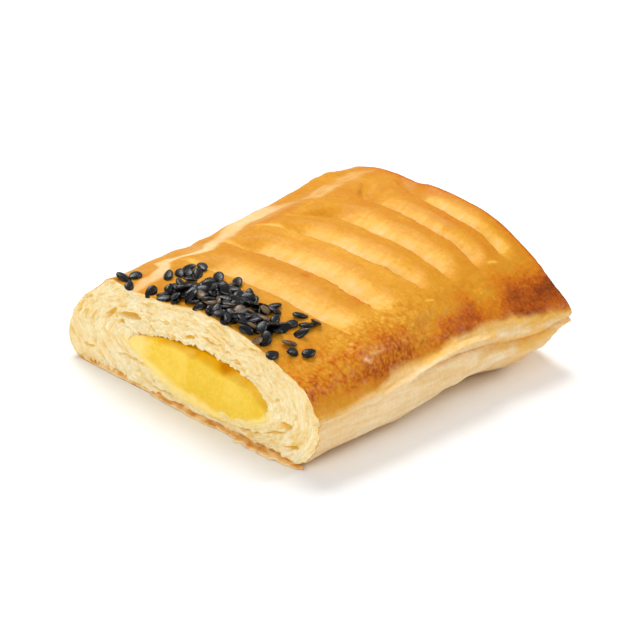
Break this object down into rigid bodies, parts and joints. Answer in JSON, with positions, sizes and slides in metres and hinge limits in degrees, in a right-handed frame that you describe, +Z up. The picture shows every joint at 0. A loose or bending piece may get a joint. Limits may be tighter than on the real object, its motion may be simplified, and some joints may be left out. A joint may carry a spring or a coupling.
{
  "type": "sweet potato pie",
  "caption": "Half of a puff-pastry bar with slashed, glazed top, folded and sealed long sides and a smooth sweet potato filling that shows at the knife cut",
  "frame": {"origin": "middle of the flat underside", "axes": "+X from the folded long side to the sealed long side, +Y from the cut face to the baked open end, +Z up"},
  "size_m": [0.0677, 0.079, 0.0252],
  "materials": {
    "baked_pastry": "egg-glazed, flaky, satin",
    "sweet_potato_filling": "smooth, moist, satin",
    "black_sesame": "finely wrinkled, satin"
  },
  "bodies": {
    "root": {"pastry": "baked_pastry", "filling": "sweet_potato_filling"}
  },
  "joints": []
}
